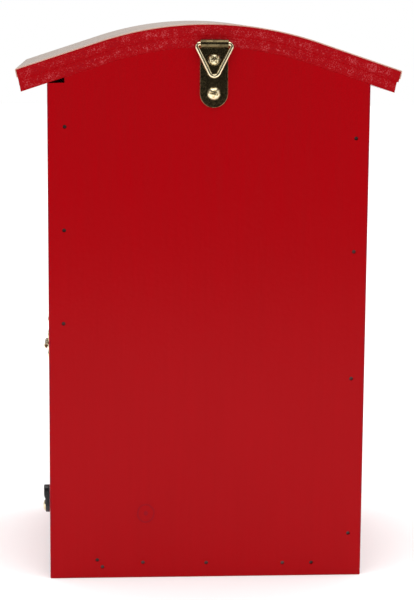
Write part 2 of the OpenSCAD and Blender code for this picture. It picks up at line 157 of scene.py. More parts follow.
class MoneyBoxFittings(bpy.types.PropertyGroup):
    """Sizes and colours of the metal fittings."""

    brass: colour_setting("Brass", "Colour of the polished brass", (0.93, 0.79, 0.52, 1))
    old_brass: colour_setting(
        "Old brass", "Colour of the dark antique brass", (0.17, 0.13, 0.065, 1))
    tin: colour_setting("Sheet", "Colour of the roof sheet", (0.5, 0.41, 0.355, 1))
    # Painted shade: near black, standing in for the shade in the sunk nail holes as well as for the
    # steel.
    steel: colour_setting("Steel", "Colour of the wire nails", (0.1, 0.07, 0.07, 1))
    lacquer: colour_setting("Lacquer", "Colour of the turn button", (0.008, 0.008, 0.009, 1))
    strap_thickness: length_setting("Strap", "Thickness of the hanger strap", 0.0008)
    wire_radius: length_setting("Wire", "Radius of the ring's wire", 0.001)
    ring_corner: length_setting("Ring corner", "Bend radius of the ring's upper corners", 0.0013)
    ring_tip: length_setting("Ring point", "Bend radius of the ring's point", 0.0023)
    ring_half_width: length_setting(
        "Ring half width", "Half of the ring's width where its sides meet the bar", 0.0088)
    ring_depth: length_setting(
        "Ring depth", "From the bar to the point before it is rounded", 0.0177)
    leaf_thickness: length_setting("Hinge leaf", "Thickness of the hinge leaves", 0.0006)
    knuckle_radius: length_setting("Knuckle", "Outer radius of the hinge knuckles", 0.0013)
    knuckle_length: length_setting("Middle knuckle", "Length of the middle knuckle", 0.0048)
    knuckle_gap: length_setting("Knuckle gap", "Gap between neighbouring knuckles", 0.0003)
    screw_inset: length_setting(
        "Hinge screw inset", "From a leaf's end to its nearest screw", 0.0026)
    button_radius: length_setting("Button", "Radius of the button's pivot end", 0.0034)
    button_tip_radius: length_setting("Button tip", "Radius of the button's finger tip", 0.0025)
    button_thickness: length_setting(
        "Button thickness", "Thickness of the button at its pivot", 0.0019)
    screw_radius: length_setting(
        "Screw head", "Radius of the hanger and button screw heads", 0.00305)
    screw_height: length_setting("Screw head height", "Height of the hanger screw heads", 0.0017)
    small_screw_radius: length_setting(
        "Hinge screw head", "Radius of the hinge screw heads", 0.0014)
    small_screw_height: length_setting(
        "Hinge screw head height", "Height of the hinge screw heads", 0.0005)


class MoneyBoxStage(bpy.types.PropertyGroup):
    """Floor, light and camera."""

    camera_place: FloatVectorProperty(
        name="Camera", description="Place of the camera", subtype="TRANSLATION",
        unit="LENGTH", size=3, default=(0.0543, 0.8910, 0.2733))
    camera_turn: FloatVectorProperty(
        name="Camera turn", description="Yaw, downward pitch and roll of the camera",
        subtype="EULER", unit="ROTATION", size=3,
        default=(math.radians(3.71), math.radians(9.41), math.radians(-0.43)))
    lens: FloatProperty(
        name="Lens", description="Focal length in millimetres on a 36 mm sensor", default=107.2)
    floor_near: length_setting(
        "Floor behind the box", "Where the floor ends on the hanger's side", 0.85)
    floor_far: length_setting("Floor reach", "How far the floor runs on the other sides", 4.0)
    key_power: FloatProperty(
        name="Key light", description="Power of the overhead light in watts", default=9)
    fill_power: FloatProperty(
        name="Fill light", description="Power of each side light in watts", default=4)
    room_light: FloatProperty(
        name="Room light", description="Strength of the even light from all round", default=0.78)
    room_reflection: FloatProperty(
        name="Room reflection", description="Strength of the room in gloss and metal", default=0.07)
    sky_light: FloatProperty(
        name="Ceiling light", description="Strength of the soft light from straight above",
        default=1.7)


# ---------------------------------------------------------------- shapes

def rounded_path(corners, radii, spacing, closed=False):
    """Points and unit tangents along a flat polyline whose corners are tangent arcs.

    At each corner both straights are cut back by radius * tan(half of the turn), and the arc
    turns the incoming direction evenly into the outgoing one. Radius 0 keeps an end point.
    """
    corners = np.asarray(corners, float)
    count = len(corners)
    stops = []
    for k in range(count):
        here = corners[k]
        if not closed and k in (0, count - 1):
            step = corners[1] - here if k == 0 else here - corners[-2]
            stops.append((here[None], (step / np.linalg.norm(step))[None]))
            continue
        into = here - corners[k - 1]
        out = corners[(k + 1) % count] - here
        into, out = into / np.linalg.norm(into), out / np.linalg.norm(out)
        turn = math.atan2(into[0] * out[1] - into[1] * out[0], into @ out)
        start = here - into * radii[k] * math.tan(abs(turn) / 2)
        side = math.copysign(1.0, turn)
        centre = start + side * radii[k] * np.array([-into[1], into[0]])
        pieces = max(6, int(abs(turn) * radii[k] / spacing))
        angle = np.linspace(0, turn, pieces + 1)
        cos, sin = np.cos(angle), np.sin(angle)
        arm = start - centre
        points = centre + np.stack([cos * arm[0] - sin * arm[1], sin * arm[0] + cos * arm[1]], -1)
        tangents = np.stack([cos * into[0] - sin * into[1], sin * into[0] + cos * into[1]], -1)
        stops.append((points, tangents))
    points, tangents = [], []
    for k, (arc, arc_tangents) in enumerate(stops):
        points.append(arc)
        tangents.append(arc_tangents)
        if k == count - 1 and not closed:
            break
        nxt = stops[(k + 1) % count][0][0]
        steps = max(1, int(np.linalg.norm(nxt - arc[-1]) / spacing))
        share = np.linspace(0, 1, steps + 1)[1:-1, None]
        points.append(arc[-1] + share * (nxt - arc[-1]))
        tangents.append(np.repeat(arc_tangents[-1:], len(share), 0))
    return np.concatenate(points), np.concatenate(tangents)


def curl_path(start, plate_offset, radius, side, sweep, steps=16):
    """Path of a strip that runs along a wall and then curls round an axis at the origin.

    The straight eases from plate_offset to radius by a smooth step, and the arc then turns
    through sweep from the wall's side. side is +1 where the plate is above the axis.
    """
    share = np.linspace(0, 1, steps)[:-1]
    ease = share * share * (3 - 2 * share)
    across = -(plate_offset + (radius - plate_offset) * ease)
    straight = np.stack([across, side * start * (1 - share)], -1)
    angle = math.pi + side * np.linspace(0, sweep, 56)
    arc = radius * np.stack([np.cos(angle), np.sin(angle)], -1)
    points = np.concatenate([straight, arc])
    tangents = np.gradient(points, axis=0)
    return points, tangents / np.linalg.norm(tangents, axis=1, keepdims=True)


def section_ring(wide, thick, corner=4):
    """Rounded rectangle as four columns: the signs of the corner's centre, then its direction.

    A point is sign * (half size - edge radius) + edge radius * direction on each axis. Along
    a flat the sign runs evenly from +1 to -1 while the direction stays.
    """
    signs = np.array([(1, 1), (-1, 1), (-1, -1), (1, -1)], float)
    rows = []
    for k in range(4):
        angle = k * math.pi / 2 + np.linspace(0, math.pi / 2, corner)
        direction = np.stack([np.cos(angle), np.sin(angle)], -1)
        rows.append(np.hstack([np.repeat(signs[k:k + 1], corner, 0), direction]))
        share = np.linspace(0, 1, (wide if k % 2 == 0 else thick) + 2)[1:-1, None]
        between = signs[k] + share * (signs[(k + 1) % 4] - signs[k])
        rows.append(np.hstack([between, np.repeat(direction[-1:], len(share), 0)]))
    return np.concatenate(rows)


def ripple(points, seed, shortest, longest, waves=36):
    """Sum of sine waves of seeded directions and phases, their lengths spread by ratio."""
    chance = np.random.default_rng(seed)
    direction = chance.normal(size=(waves, 3))
    direction /= np.linalg.norm(direction, axis=1, keepdims=True)
    length = np.geomspace(shortest, longest, waves)
    phase = chance.uniform(0, 2 * math.pi, waves)
    total = np.sin(points @ (direction / length[:, None]).T * 2 * math.pi + phase).sum(-1)
    return np.clip(0.5 + total / (2.4 * math.sqrt(waves)), 0, 1)


def band(path, tangents, place, half_width, thickness, edge, ring, lean=0.0, tear=0.0, seed=1):
    """Grid of a strip: a rounded rectangle carried along a path, with both ends closed.

    place is (origin, first axis, second axis, across axis). At each end the section shrinks
    along a quarter circle of the edge radius and then closes to a slit in its mid-plane. lean
    slides each layer along the path by its height, growing from the middle to the ends. tear
    pushes the cut edges inwards by a ripple. half_width may be a function of path length.
    Returned with the grid: how far each point lies on a cut edge, from 0 to 1.
    """
    origin, first, second, across = place
    length = np.concatenate([[0], np.cumsum(np.linalg.norm(np.diff(path, axis=0), axis=1))])
    whole = length[-1]
    turn = np.linspace(0, math.pi / 2, 4)
    cap_in, cap_shrink = edge * (1 - np.cos(turn)), edge * (1 - np.sin(turn))
    keep = (length > edge * 1.05) & (length < whole - edge * 1.05)
    closing = np.array([0.0, 0.35, 0.7])
    still = np.zeros(3)
    station = np.concatenate([still, cap_in, length[keep], whole - cap_in[::-1], whole - still])
    shrink = np.concatenate([still + edge, cap_shrink, np.zeros(keep.sum()),
                             cap_shrink[::-1], still + edge])
    height = np.concatenate([closing, np.ones(len(station) - 6), closing[::-1]])
    is_end = np.zeros(len(station))
    is_end[:5] = is_end[-5:] = 1

    def along(values):
        return np.stack([np.interp(station, length, values[:, k]) for k in range(2)], -1)

    middle, forward = along(path), along(tangents)
    forward /= np.linalg.norm(forward, axis=1, keepdims=True)
    normal = np.stack([-forward[:, 1], forward[:, 0]], -1)
    width = half_width(station) if callable(half_width) else np.full(len(station), half_width)
    sign_a, sign_b, dir_a, dir_b = ring.T
    reach_a = np.maximum(width - edge, 0)[:, None]
    reach_b = max(thickness / 2 - edge, 0)
    soft = np.maximum(edge - shrink, 0)[:, None]
    a = sign_a * reach_a + soft * dir_a
    b = (sign_b * reach_b + soft * dir_b) * height[:, None]
    side = (station / whole * 2 - 1)[:, None]
    slide = -b * math.tan(lean) * side
    points = (origin + across * a[..., None]
              + first * (middle[:, :1] + forward[:, :1] * slide + normal[:, :1] * b)[..., None]
              + second * (middle[:, 1:] + forward[:, 1:] * slide + normal[:, 1:] * b)[..., None])
    cut = np.maximum(np.abs(dir_a)[None, :], is_end[:, None])
    if tear:
        depth = tear * ripple(points, seed, 1.1 * MM, 7 * MM) * cut
        sideways = -np.sign(sign_a) * np.abs(dir_a) * depth
        inward = -np.sign(side) * is_end[:, None] * depth
        flat = first * forward[:, :1, None] + second * forward[:, 1:, None]
        points = points + across * sideways[..., None] + flat * inward[..., None]
    return points, cut


def tube(path, tangents, place, radius, around=24):
    """Grid of a round wire: a circle carried along a closed path, square to its tangent."""
    origin, first, second, across = place
    normal = np.stack([-tangents[:, 1], tangents[:, 0]], -1)
    angle = np.linspace(0, 2 * math.pi, around, endpoint=False)
    cos, sin = radius * np.cos(angle), radius * np.sin(angle)
    flat = path[:, None] + normal[:, None] * cos[None, :, None]
    return origin + first * flat[..., :1] + second * flat[..., 1:] + across * sin[None, :, None]


def turned(profile, centre, axis, first, second, around=32):
    """Grid of a turned piece: a profile of (place on the axis, radius) swung round the axis."""
    angle = np.linspace(0, 2 * math.pi, around, endpoint=False)
    spin = first * np.cos(angle)[:, None] + second * np.sin(angle)[:, None]
    profile = np.asarray(profile, float)
    return centre + axis * profile[:, None, :1] + spin[None] * profile[:, None, 1:]


def screw_head(centre, axis, first, second, radius, height, turn, rings=26, around=72):
    """Grid of a domed screw head with a cross recess, closed by a flat underside.

    Height over the disc is a spherical dome, less a cross whose arms are smooth steps across
    their width and along their length. The underside follows at height 0.
    """
    dome = (radius * radius + height * height) / (2 * height)
    share = np.sin(np.linspace(0, math.pi / 2, rings))
    reach = radius * share[:, None]
    angle = np.linspace(0, 2 * math.pi, around, endpoint=False)[None]
    x, y = reach * np.cos(angle), reach * np.sin(angle)
    z = np.sqrt(np.maximum(dome * dome - reach * reach, 0)) - dome + height + 0 * angle

    def arm(along, over):
        soft = radius * 0.05
        long_part = np.clip((radius * 0.6 - np.abs(along)) / (soft * 3), 0, 1)
        thin_part = np.clip((radius * 0.14 - np.abs(over)) / soft, 0, 1)
        return long_part * thin_part

    cos, sin = math.cos(turn), math.sin(turn)
    u, v = x * cos + y * sin, y * cos - x * sin
    z = z - height * 0.5 * np.maximum(arm(u, v), arm(v, u))
    bottom = np.array([1.0, 0.5, 0.0])[:, None] * radius
    x = np.concatenate([x, bottom * np.cos(angle)])
    y = np.concatenate([y, bottom * np.sin(angle)])
    z = np.concatenate([z, np.zeros((3, around))])
    return centre + first * x[..., None] + second * y[..., None] + axis * z[..., None]


def teardrop(inset, big, small, reach, steps=20, flat=8):
    """Outline of two circles joined by their outer tangents, moved in by inset.

    The tangents touch at an angle whose cosine is the difference of the radii over the
    distance of the centres, which an inset leaves as it is.
    """
    touch = math.acos((big - small) / reach)
    tip = np.linspace(-touch, touch, steps)
    back = np.linspace(touch, 2 * math.pi - touch, steps * 2)
    small_arc = np.stack([reach + (small - inset) * np.cos(tip), (small - inset) * np.sin(tip)], -1)
    big_arc = (big - inset) * np.stack([np.cos(back), np.sin(back)], -1)
    share = np.linspace(0, 1, flat + 2)[1:-1, None]
    out = small_arc[-1] + share * (big_arc[0] - small_arc[-1])
    home = big_arc[-1] + share * (small_arc[0] - big_arc[-1])
    return np.concatenate([small_arc, out, big_arc, home])


# ---------------------------------------------------------------- meshes

def mesh_from_grids(name, grids, wrap_rows=False, caps=False, cut=None):
    """One mesh from grids of points, each wrapped round its columns, with doubles merged.

    Row i and column j join row i + 1 and column j + 1 by a quad. cut is kept as cut_edge.
    """
    points, faces, start = [], [], 0
    for grid in grids:
        rows, columns = grid.shape[:2]
        i, j = np.meshgrid(np.arange(rows if wrap_rows else rows - 1), np.arange(columns),
                           indexing="ij")
        below, beside = (i + 1) % rows, (j + 1) % columns
        quads = np.stack([i * columns + j, below * columns + j,
                          below * columns + beside, i * columns + beside], -1)
        faces += (quads.reshape(-1, 4) + start).tolist()
        if caps:
            faces.append(list(range(start, start + columns)))
            last = start + (rows - 1) * columns
            faces.append(list(range(last, last + columns)))
        points.append(grid.reshape(-1, 3))
        start += rows * columns
    mesh = bpy.data.meshes.new(name)
    mesh.from_pydata(np.concatenate(points).tolist(), [], faces)
    if cut is not None:
        layer = mesh.attributes.new("cut_edge", "FLOAT", "POINT")
        layer.data.foreach_set("value", cut.astype(np.float32).ravel())
    work = bmesh.new()
    work.from_mesh(mesh)
    bmesh.ops.remove_doubles(work, verts=work.verts, dist=1e-7)
    bmesh.ops.dissolve_degenerate(work, edges=work.edges, dist=1e-8)
    bmesh.ops.recalc_face_normals(work, faces=work.faces)
    work.to_mesh(mesh)
    work.free()
    mesh.shade_smooth()
    mesh.set_sharp_from_angle(angle=math.radians(42))
    return mesh


def link_object(name, data):
    """A new object in the scene that shows this data."""
    made = bpy.data.objects.new(name, data)
    bpy.context.scene.collection.objects.link(made)
    return made


def add_piece(name, mesh, body, nodes, material):
    """Links a finished mesh as a piece that rides on a body and stands for CAD nodes."""
    piece = link_object(name, mesh)
    mesh.materials.clear()
    mesh.materials.append(material)
    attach(piece, body)
    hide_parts(*nodes)
    return piece


def build_piece(node, suffix, grids, body, slot, material, **how):
    """Makes a mesh from grids and adds it as the piece that stands for one CAD node."""
    mesh = mesh_from_grids(node, grids, **how)
    add_piece(node + suffix, mesh, body, [node], material)


def is_arris(edge, shortest=0.0):
    """True for a sharp edge between two faces, longer than shortest."""
    sharp = len(edge.link_faces) == 2 and edge.calc_face_angle(0) > SHARP_TURN
    return sharp and edge.calc_length() > shortest


def merge_clipped_corners(work):
    """Merges the two ends of a clipped corner, a tiny arris that joins two long ones."""
    for edge in [edge for edge in work.edges
                 if is_arris(edge) and edge.calc_length() < CLIPPED_CORNER]:
        if all(any(is_arris(other, LONG_ARRIS) for other in vert.link_edges)
               for vert in edge.verts):
            lowest = min(edge.verts, key=lambda vert: vert.co.z)
            bmesh.ops.pointmerge(work, verts=list(edge.verts), merge_co=lowest.co)


def rounded_board(node, width):
    """Copy of a board's mesh, merged into whole faces, with a Bevel on its long arrises.

    The rims of the nail holes stay sharp, and the arrises that meet the roof nearly so.
    Weighted Normal keeps the wide faces flat.
    """
    roof_low = BOX["roof_lower_ply"][0].z
    mesh = frame["nodes"][node].data.copy()
    work = bmesh.new()
    work.from_mesh(mesh)
    bmesh.ops.remove_doubles(work, verts=work.verts, dist=1e-6)
    bmesh.ops.dissolve_limit(work, angle_limit=FLAT_TURN, verts=work.verts, edges=work.edges)
    merge_clipped_corners(work)
    weight = work.edges.layers.float.new("bevel_weight_edge")
    for edge in work.edges:
        meets_roof = min(vert.co.z for vert in edge.verts) > roof_low
        rounded = is_arris(edge, LONG_ARRIS)
        edge[weight] = (SEAM_BEVEL if meets_roof else 1.0) if rounded else 0.0
        edge.smooth = rounded or not is_arris(edge)
    bmesh.ops.recalc_face_normals(work, faces=work.faces)
    work.to_mesh(mesh)
    work.free()
    mesh.polygons.foreach_set("use_smooth", np.ones(len(mesh.polygons), bool))
    piece = add_piece(node + "_painted", mesh, frame["nodes"][node]["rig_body"], [node],
                      painted_board_material(node == "back_panel"))
    bevel = piece.modifiers.new("Rounded arrises", "BEVEL")
    bevel.limit_method = "WEIGHT"
    bevel.width = width
    bevel.segments = 3
    bevel.use_clamp_overlap = False
    bevel.loop_slide = False
    normals = piece.modifiers.new("Flat faces", "WEIGHTED_NORMAL")
    normals.mode = "FACE_AREA"
    normals.weight = 100
    normals.keep_sharp = True


# ---------------------------------------------------------------- materials

def connect(tree, node, inputs):
    """Fills or links a node's inputs by name or number."""
    for key, value in inputs.items():
        if isinstance(value, bpy.types.NodeSocket):
            tree.links.new(value, node.inputs[key])
        else:
            node.inputs[key].default_value = value


def add(tree, kind, inputs=None, **settings):
    """Adds a node, makes its settings, and fills or links its inputs."""
    made = tree.nodes.new(kind)
    for key, value in settings.items():
        setattr(made, key, value)
    connect(tree, made, inputs or {})
    return made


def calc(tree, operation, first, second=0.0):
    return add(tree, "ShaderNodeMath", {0: first, 1: second}, operation=operation).outputs[0]


def times(tree, first, second):
    return calc(tree, "MULTIPLY", first, second)


def plus(tree, first, second):
    return calc(tree, "ADD", first, second)


def weighted(tree, first, share, second, other_share):
    """The sum of a share of each of two values."""
    return plus(tree, times(tree, first, share), times(tree, second, other_share))


def step_mask(tree, value, low, high):
    """0 below low and 1 above high, or the other way round where low is the larger."""
    flip = low > high
    made = add(tree, "ShaderNodeMapRange", {
        "Value": value, "From Min": min(low, high), "From Max": max(low, high),
        "To Min": 1.0 if flip else 0.0, "To Max": 0.0 if flip else 1.0,
    }, interpolation_type="SMOOTHSTEP")
    return made.outputs["Result"]


def mix_colour(tree, share, first, second):
    """First where share is 0, second where it is 1, by the Mix node's colour sockets."""
    return add(tree, "ShaderNodeMix", {0: share, 6: first, 7: second},
               data_type="RGBA").outputs[2]


def tinted(tree, colour, mask, share, over):
    """A colour with another laid over it by a share of a mask."""
    return mix_colour(tree, times(tree, mask, share), colour, over)


def stretched(tree, vector, scale):
    return add(tree, "ShaderNodeMapping", {"Vector": vector, "Scale": scale}).outputs[0]


def noise(tree, vector, scale, detail=3.0, roughness=0.5):
    return add(tree, "ShaderNodeTexNoise", {
        "Vector": vector, "Scale": scale, "Detail": detail, "Roughness": roughness,
    }).outputs["Fac"]


def new_group(name, inputs, outputs, fill):
    """The shared node group of this name, made the first time by fill(tree, inputs).

    A Vector input comes first. inputs gives the others with their defaults, outputs the names.
    """
    tree = bpy.data.node_groups.get(name)
    if tree:
        return tree
    tree = bpy.data.node_groups.new(name, "ShaderNodeTree")
    tree.interface.new_socket(name="Vector", in_out="INPUT", socket_type="NodeSocketVector")
    for label, default in inputs.items():
        kind = "NodeSocketVector" if isinstance(default, tuple) else "NodeSocketFloat"
        tree.interface.new_socket(
            name=label, in_out="INPUT", socket_type=kind).default_value = default
    for label in outputs:
        tree.interface.new_socket(name=label, in_out="OUTPUT", socket_type="NodeSocketFloat")
    entry = tree.nodes.new("NodeGroupInput")
    leave = tree.nodes.new("NodeGroupOutput")
    for label, value in fill(tree, entry.outputs).items():
        tree.links.new(value, leave.inputs[label])
    return tree


def use_group(tree, group, inputs):
    return add(tree, "ShaderNodeGroup", inputs, node_tree=group).outputs


def brushed_paint_group():
    """Gloss paint brushed along the grain: streaks, orange peel and small light glints that are
    painted highlights.
    """

    def fill(tree, given):
        long_grain = stretched(tree, given["Vector"], (1.0, 1.0, 0.045))
        streaks = noise(tree, long_grain, given["Grain scale"], 5.0, 0.6)
        peel = noise(tree, given["Vector"], given["Peel scale"], 2.0, 0.45)
        clouds = noise(tree, given["Vector"], 14.0, 2.0, 0.5)
        # The small light spots made here are painted highlights, standing in for light caught by
        # the gloss.
        spots = add(tree, "ShaderNodeTexVoronoi",
                    {"Vector": given["Vector"], "Scale": 46.0, "Randomness": 1.0})
        near = step_mask(tree, spots.outputs["Distance"], 0.022, 0.008)
        rare = step_mask(tree, noise(tree, given["Vector"], 30.0, 1.0), 0.62, 0.7)
        relief = weighted(tree, streaks, 0.45, peel, 0.55)
        return {"Streaks": step_mask(tree, streaks, 0.3, 0.72), "Clouds": clouds,
                "Specks": times(tree, near, rare), "Height": relief}

    return new_group("Brushed paint", {"Grain scale": 420.0, "Peel scale": 620.0},
                     ["Streaks", "Clouds", "Specks", "Height"], fill)


def inside_group():
    """Mask of the unpainted inside of the case: a box with an uneven edge of paint."""

    def fill(tree, given):
        parts = add(tree, "ShaderNodeSeparateXYZ", {0: given["Vector"]}).outputs
        uneven = times(tree, noise(tree, given["Vector"], 160.0, 2.0), 0.0012)
        past = plus(tree, uneven, 0.0003)
        inside = None
        for part, half in ((parts[0], given["Half width"]), (parts[1], given["Half depth"])):
            room = calc(tree, "SUBTRACT", half, calc(tree, "ABSOLUTE", part))
            here = step_mask(tree, plus(tree, room, past), 0.0, 0.0004)
            inside = here if inside is None else times(tree, inside, here)
        over_floor = calc(tree, "GREATER_THAN", parts[2], given["Floor"])
        return {"Mask": times(tree, inside, over_floor)}

    return new_group("Inside of the case",
                     {"Half width": 0.063, "Half depth": 0.05, "Floor": 0.0118}, ["Mask"], fill)


def arris_group():
    """Mask of the case's upright arrises, broken up along their length."""

    def fill(tree, given):
        parts = add(tree, "ShaderNodeSeparateXYZ", {0: given["Vector"]}).outputs
        mask = noise(tree, given["Vector"], 210.0, 3.0, 0.6)
        mask = step_mask(tree, mask, 0.38, 0.6)
        for part, half in ((parts[0], given["Half width"]), (parts[1], given["Half depth"])):
            depth = calc(tree, "SUBTRACT", half, calc(tree, "ABSOLUTE", part))
            mask = times(tree, mask, step_mask(tree, depth, 0.0011, 0.0004))
        return {"Mask": mask}

    return new_group("Worn arris", {"Half width": 0.075, "Half depth": 0.062}, ["Mask"], fill)


def knot_group():
    """A knot seen through the paint: a raised ring round a small core."""

    def fill(tree, given):
        shift = add(tree, "ShaderNodeVectorMath", {0: given["Vector"], 1: given["Centre"]},
                    operation="SUBTRACT").outputs[0]
        wobble = noise(tree, given["Vector"], 260.0, 2.0)
        reach = add(tree, "ShaderNodeVectorMath", {0: stretched(tree, shift, (1.0, 1.0, 0.92))},
                    operation="LENGTH").outputs["Value"]
        reach = plus(tree, reach, times(tree, wobble, 0.0007))
        outer = times(tree, step_mask(tree, reach, 0.0050, 0.0043),
                      step_mask(tree, reach, 0.0036, 0.0043))
        core = step_mask(tree, reach, 0.0017, 0.0011)
        return {"Mask": calc(tree, "MAXIMUM", outer, core)}

    return new_group("Knot", {"Centre": (0, 0, 0)}, ["Mask"], fill)


def patina_group():
    """Handling marks on metal: cloudy tarnish, fine mottle and short scratches."""

    def fill(tree, given):
        clouds = noise(tree, given["Vector"], given["Cloud scale"], 4.0, 0.6)
        mottle = noise(tree, given["Vector"], given["Mottle scale"], 3.0, 0.7)
        turned_way = add(tree, "ShaderNodeMapping", {
            "Vector": given["Vector"], "Rotation": (0.4, 0.9, 0.6),
            "Scale": (1.0, 0.06, 1.0)}).outputs[0]
        scratches = step_mask(tree, noise(tree, turned_way, 2600.0, 2.0, 0.6), 0.62, 0.74)
        return {"Tarnish": step_mask(tree, clouds, 0.4, 0.68),
                "Mottle": step_mask(tree, mottle, 0.5, 0.66), "Scratches": scratches}

    return new_group("Metal patina", {"Cloud scale": 180.0, "Mottle scale": 1600.0},
                     ["Tarnish", "Mottle", "Scratches"], fill)


def new_material(name):
    """An empty material with its shader, and the object coordinates of the surface."""
    material = bpy.data.materials.new(name)
    material.use_nodes = True
    tree = material.node_tree
    tree.nodes.clear()
    shader = add(tree, "ShaderNodeBsdfPrincipled")
    leave = add(tree, "ShaderNodeOutputMaterial")
    tree.links.new(shader.outputs[0], leave.inputs["Surface"])
    place = add(tree, "ShaderNodeTexCoord").outputs["Object"]
    return material, tree, shader, place


def set_bump(tree, shader, height, distance, strength=1.0):
    bump = add(tree, "ShaderNodeBump",
               {"Height": height, "Distance": distance, "Strength": strength})
    tree.links.new(bump.outputs[0], shader.inputs["Normal"])


def bare_wood_colour(tree, place, colour):
    """Pine: slow growth bands along Z and fine fibres."""
    bands = noise(tree, stretched(tree, place, (1.0, 1.0, 0.08)), 130.0, 3.0, 0.55)
    fibres = noise(tree, stretched(tree, place, (1.0, 1.0, 0.03)), 1500.0, 2.0)
    dark = tuple(0.62 * part for part in colour[:3]) + (1,)
    banded = mix_colour(tree, step_mask(tree, bands, 0.42, 0.62), tuple(colour), dark)
    return tinted(tree, banded, fibres, 0.3, dark)


def painted_board_material(with_knot):
    """Gloss red paint over board, bare inside the case, with a knot on the back panel."""
    name = "Red paint over a knot" if with_knot else "Red paint"
    if bpy.data.materials.get(name):
        return bpy.data.materials[name]
    paint = bpy.context.scene.money_box_paint
    material, tree, shader, place = new_material(name)
    coat = use_group(tree, brushed_paint_group(), {"Vector": place})
    inside = use_group(tree, inside_group(), {"Vector": place})["Mask"]
    worn = use_group(tree, arris_group(), {"Vector": place})["Mask"]
    shade = weighted(tree, coat["Streaks"], 0.35, coat["Clouds"], 0.5)
    colour = mix_colour(tree, shade, tuple(paint.red), tuple(paint.deep_red))
    colour = tinted(tree, colour, worn, 0.7, tuple(paint.arris))
    # Painted highlight: small light spots laid into the paint's colour.
    colour = tinted(tree, colour, coat["Specks"], 0.5, tuple(paint.glint))
    height = coat["Height"]
    if with_knot:
        lo, hi = BOX["back_panel"]
        knot_across, knot_up = 0.1042, 0.032
        centre = (lo.x + knot_across, hi.y, lo.z + knot_up)
        knot = use_group(tree, knot_group(), {"Vector": place, "Centre": centre})["Mask"]
        colour = tinted(tree, colour, knot, 0.6, tuple(paint.arris))
        height = plus(tree, height, times(tree, knot, 0.5))
    colour = mix_colour(tree, inside, colour, bare_wood_colour(tree, place, paint.bare_wood))
    gloss = weighted(tree, coat["Streaks"], 0.05, coat["Clouds"], 0.06)
    rough = plus(tree, plus(tree, gloss, 0.17), times(tree, inside, 0.5))
    connect(tree, shader, {"Base Color": colour, "Roughness": rough, "IOR": 1.18})
    set_bump(tree, shader, height, 0.00022, 0.55)
    return material


def glinting_ply_material():
    """Red paint on plywood: smooth on its faces, torn on its cut edges, where light specks are
    painted highlights and dark pits are painted shade.
    """
    paint = bpy.context.scene.money_box_paint
    material, tree, shader, place = new_material("Red paint on plywood")
    cut = add(tree, "ShaderNodeAttribute", attribute_name="cut_edge").outputs["Fac"]
    coat = use_group(tree, brushed_paint_group(), {"Vector": place, "Peel scale": 900.0})
    inside = use_group(tree, inside_group(), {"Vector": place})["Mask"]
    grit = noise(tree, place, 2300.0, 2.0, 0.55)
    fine = noise(tree, place, 3200.0, 2.0, 0.6)
    patches = noise(tree, place, 230.0, 2.0, 0.5)
    level = weighted(tree, grit, 0.7, patches, 0.3)
    # Painted highlight: light specks on the cut edges, where the torn grain would catch the light.
    glints = times(tree, step_mask(tree, level, 0.575, 0.61), cut)
    # Painted shade: the low points of the torn edge's bump are darkened with the arris colour.
    pit_shade = times(tree, step_mask(tree, level, 0.44, 0.36), cut)
    colour = mix_colour(tree, coat["Clouds"], tuple(paint.red), tuple(paint.deep_red))
    colour = tinted(tree, colour, pit_shade, 0.6, tuple(paint.arris))
    colour = tinted(tree, colour, glints, 0.8, tuple(paint.glint))
    colour = mix_colour(tree, inside, colour, bare_wood_colour(tree, place, paint.bare_wood))
    rough = plus(tree, times(tree, cut, 0.16), 0.24)
    rough = plus(tree, rough, times(tree, inside, 0.4))
    torn = times(tree, plus(tree, grit, times(tree, fine, 0.35)), cut)
    height = plus(tree, torn, times(tree, coat["Height"], 0.3))
    connect(tree, shader, {"Base Color": colour, "Roughness": rough, "IOR": 1.17})
    set_bump(tree, shader, height, 0.0002, 0.5)
    return material


def metal_material(name, colour, dark_share, low, high, cloud_scale=180.0, metallic=1.0,
                   bump=0.00002, edge_highlight=None):
    """A metal whose tarnish darkens it and whose mottle and scratches change its gloss.

    The edge colour is a painted highlight, laid on the piece's cut edges by their cut_edge
    attribute.
    """
    if bpy.data.materials.get(name):
        return bpy.data.materials[name]
    material, tree, shader, place = new_material(name)
    marks = use_group(tree, patina_group(), {"Vector": place, "Cloud scale": cloud_scale})
    dark = tuple(dark_share * part for part in colour[:3]) + (1,)
    bright = tuple(min(1.0, 1.25 * part) for part in colour[:3]) + (1,)
    tone = tinted(tree, tuple(colour), marks["Tarnish"], 0.7, dark)
    tone = tinted(tree, tone, marks["Mottle"], 0.35, bright)
    if edge_highlight:
        # Painted highlight on the cut edges.
        cut = add(tree, "ShaderNodeAttribute", attribute_name="cut_edge").outputs["Fac"]
        tone = tinted(tree, tone, cut, 0.8, edge_highlight)
    wear = weighted(tree, marks["Tarnish"], 0.7, marks["Scratches"], 0.3)
    rough = plus(tree, times(tree, wear, high - low), low)
    connect(tree, shader, {"Base Color": tone, "Roughness": rough, "Metallic": metallic})
    set_bump(tree, shader, plus(tree, marks["Mottle"], marks["Scratches"]), bump, 0.6)
    return material


def brass_material():
    return metal_material("Polished brass", bpy.context.scene.money_box_fittings.brass,
                          0.6, 0.12, 0.3)


def old_brass_material():
    # The light edge colour is a painted highlight on the strap's cut edges.
    return metal_material("Antique brass", bpy.context.scene.money_box_fittings.old_brass,
                          0.3, 0.14, 0.38, cloud_scale=420.0,
                          edge_highlight=(0.9, 0.58, 0.34, 1))


def shaded_nail_material():
    # Painted shade: the steel is darkened to stand in for the shade in the sunk nail holes.
    return metal_material("Wire nail steel", bpy.context.scene.money_box_fittings.steel,
                          0.4, 0.35, 0.6)


